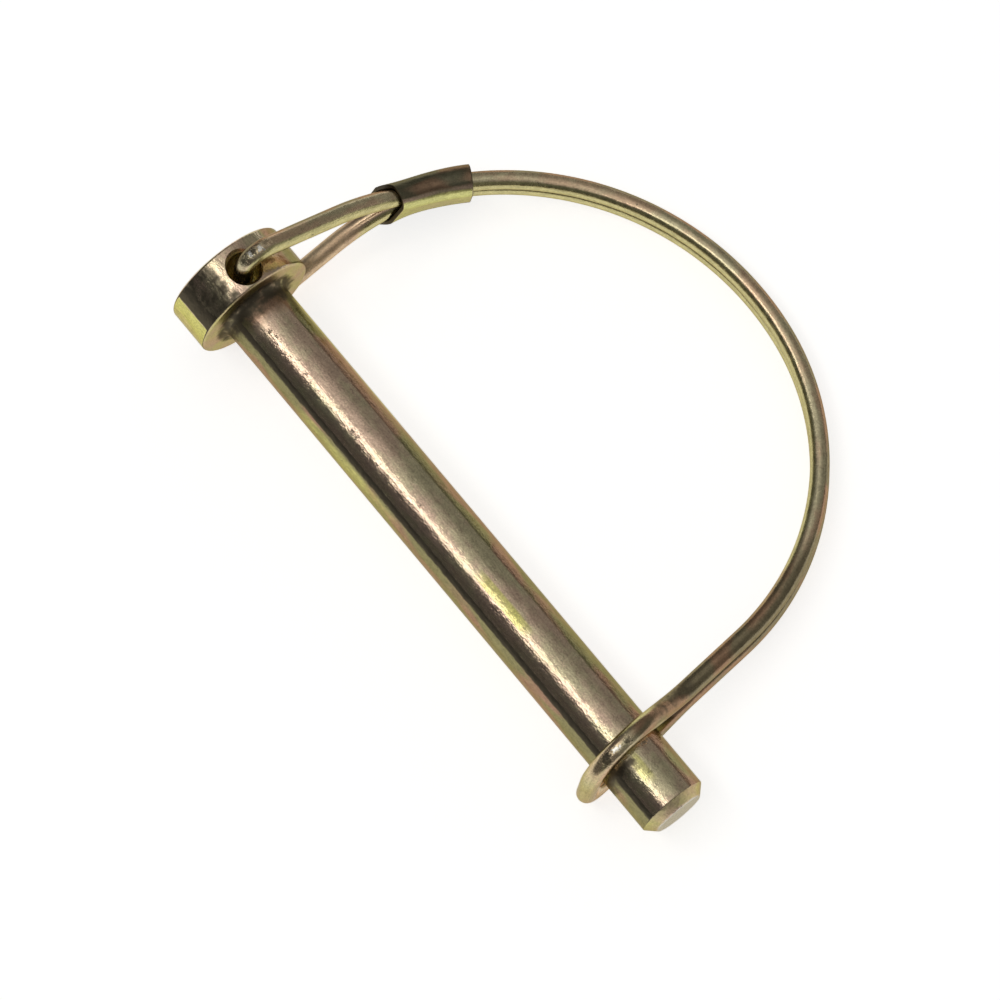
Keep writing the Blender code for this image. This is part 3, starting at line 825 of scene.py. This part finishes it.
def makeSleeve(look):
    bm = bmesh.new()
    rings = []
    grains = []
    masks = []
    for run, out in sleeveRows(look):
        part = run / look["length"]
        swell = look["swell"] * ease(part)
        along = look["start"] + run
        ring = []
        for index, (spot, way) in enumerate(sleeveOutline(along, swell, look)):
            cutAt = along + (1 - part) * sleeveSlant(spot, along, swell, look)
            offset, way = sleeveOutline(cutAt, swell, look)[index]
            offset = offset + way * out + Vector((look["lift"] * ease(part), 0.0))
            ring.append(bm.verts.new(besidePair(cutAt, offset.x, offset.y)))
            grains.append((cutAt, offset.x, offset.y))
            masks.append(sleeveMasks(look, part, out, way))
        rings.append(ring)
    for ring, following in zip(rings, rings[1:] + rings[:1]):
        for index in range(len(ring)):
            near = (index + 1) % len(ring)
            bm.faces.new((ring[index], ring[near], following[near], following[index]))
    mesh = closeMesh("crimpSleeve", bm)
    paintMasks(mesh, masks, grains)
    mesh.transform(pinFrame)
    material = platedMaterial("sleevePlating", look)
    meshPiece("crimpSleeve", mesh, material, "loop", "crimp_sleeve", look["sharpAngle"])


makeSleeve(sleeveLook)
print("sleeve made")

floorLook = {
    "radius": 3.0, "sides": 96, "drop": 0.0001, "color": (0.82, 0.82, 0.82, 1), "roughness": 0.9,
    "gloss": 0.1, "lift": 0.70,
}


def makeFloor(look):
    bm = bmesh.new()
    bmesh.ops.create_circle(bm, cap_ends=True, segments=look["sides"], radius=look["radius"])
    mesh = bpy.data.meshes.new("floor")
    bm.to_mesh(mesh)
    bm.free()
    floor = bpy.data.objects.new("floor", mesh)
    bpy.context.scene.collection.objects.link(floor)
    floor.location.z = -look["drop"]
    material = bpy.data.materials.new("floorPaper")
    material.use_nodes = True
    tree = material.node_tree
    shader = tree.nodes["Principled BSDF"]
    shader.inputs["Base Color"].default_value = look["color"]
    shader.inputs["Roughness"].default_value = look["roughness"]
    shader.inputs["Specular IOR Level"].default_value = look["gloss"]
    shader.inputs["Emission Color"].default_value = (1, 1, 1, 1)
    # The paper shows near white to the camera and in the metal, and lights nothing
    rays = tree.nodes.new("ShaderNodeLightPath").outputs
    seen = mathNode(tree, "ADD", rays["Is Camera Ray"], rays["Is Glossy Ray"])
    seen = mathNode(tree, "ADD", seen, rays["Is Transmission Ray"], clamp=True)
    tree.links.new(mathNode(tree, "MULTIPLY", seen, look["lift"]), shader.inputs["Emission Strength"])
    mesh.materials.append(material)


worldLook = {
    "dark": (0.10, 0.10, 0.10, 1), "light": (0.24, 0.235, 0.22, 1), "lightFrom": (0.25, 0.95, 0.2),
    "lightEdge": (-0.45, 0.55),
    "glowColor": (0.76, 0.745, 0.72, 1), "glowEdge": (-0.46, -0.39), "glowFade": (-0.10, 0.75),
    "glowShift": 0.1, "glowSides": (0.2, 0.7),
}


def makeWorld(look):
    world = bpy.data.worlds.new("studio")
    bpy.context.scene.world = world
    world.use_nodes = True
    tree = world.node_tree
    background = tree.nodes["Background"]
    direction = tree.nodes.new("ShaderNodeTexCoord").outputs["Generated"]
    parts = addNode(tree, "ShaderNodeSeparateXYZ", None, {"Vector": direction}).outputs
    side = vectorNode(tree, "DOT_PRODUCT", direction, look["lightFrom"], output="Value")
    color = mixColor(tree, ramp(tree, side, *look["lightEdge"]), look["dark"], look["light"])
    # A wide diffuser overhead: a sharp near edge, and it fades away towards the far side
    glow = ramp(tree, parts["Y"], *look["glowEdge"])
    glow = mathNode(tree, "MULTIPLY", glow, inverted(tree, ramp(tree, parts["Y"], *look["glowFade"])))
    aside = mathNode(tree, "ABSOLUTE", mathNode(tree, "ADD", parts["X"], look["glowShift"]))
    glow = mathNode(tree, "MULTIPLY", glow, inverted(tree, ramp(tree, aside, *look["glowSides"])))
    glow = mathNode(tree, "MULTIPLY", glow, mathNode(tree, "GREATER_THAN", parts["Z"], 0.0))
    color = mixColor(tree, glow, color, look["glowColor"])
    tree.links.new(color, background.inputs["Color"])


def turnTo(back, right):
    return Matrix((right, back.cross(right), back)).transposed().to_4x4()


lampLook = {  # a long strip overhead, on the near side
    "way": (-0.13, -0.355, 0.93), "along": (1, 0, 0), "distance": 1.1, "size": (0.80, 0.23),
    "radiance": 2.3, "color": (1.0, 0.97, 0.93),
}


def makeLamp(look):
    data = bpy.data.lights.new("stripLamp", "AREA")
    data.shape = "RECTANGLE"
    data.size, data.size_y = look["size"]
    data.color = look["color"]
    data.energy = look["radiance"] * math.pi * look["size"][0] * look["size"][1]
    lamp = bpy.data.objects.new("stripLamp", data)
    bpy.context.scene.collection.objects.link(lamp)
    back = Vector(look["way"]).normalized()
    along = Vector(look["along"])
    right = (along - back * back.dot(along)).normalized()
    lamp.matrix_world = Matrix.Translation(back * look["distance"]) @ turnTo(back, right)


cameraLook = {  # in the pin's frame, metres; the lens and the sensor in millimetres
    "place": (0.167422, -0.16471, 0.58081), "target": (0.039807, 0.008595, 0.0),
    "up": (-0.74837, 0.57234, 0.33521), "lens": 173.63, "sensor": 36.0, "clip": (0.01, 20.0),
}


def makeCamera(look):
    data = bpy.data.cameras.new("camera")
    data.lens, data.sensor_width = look["lens"], look["sensor"]
    data.clip_start, data.clip_end = look["clip"]
    camera = bpy.data.objects.new("camera", data)
    bpy.context.scene.collection.objects.link(camera)
    place = Vector(look["place"])
    back = (place - Vector(look["target"])).normalized()
    right = Vector(look["up"]).cross(back).normalized()
    camera.matrix_world = pinFrame @ Matrix.Translation(place) @ turnTo(back, right)
    bpy.context.scene.camera = camera


makeFloor(floorLook)
makeWorld(worldLook)
makeLamp(lampLook)
makeCamera(cameraLook)
bpy.context.scene.view_settings.view_transform = "Standard"
print("stage made")
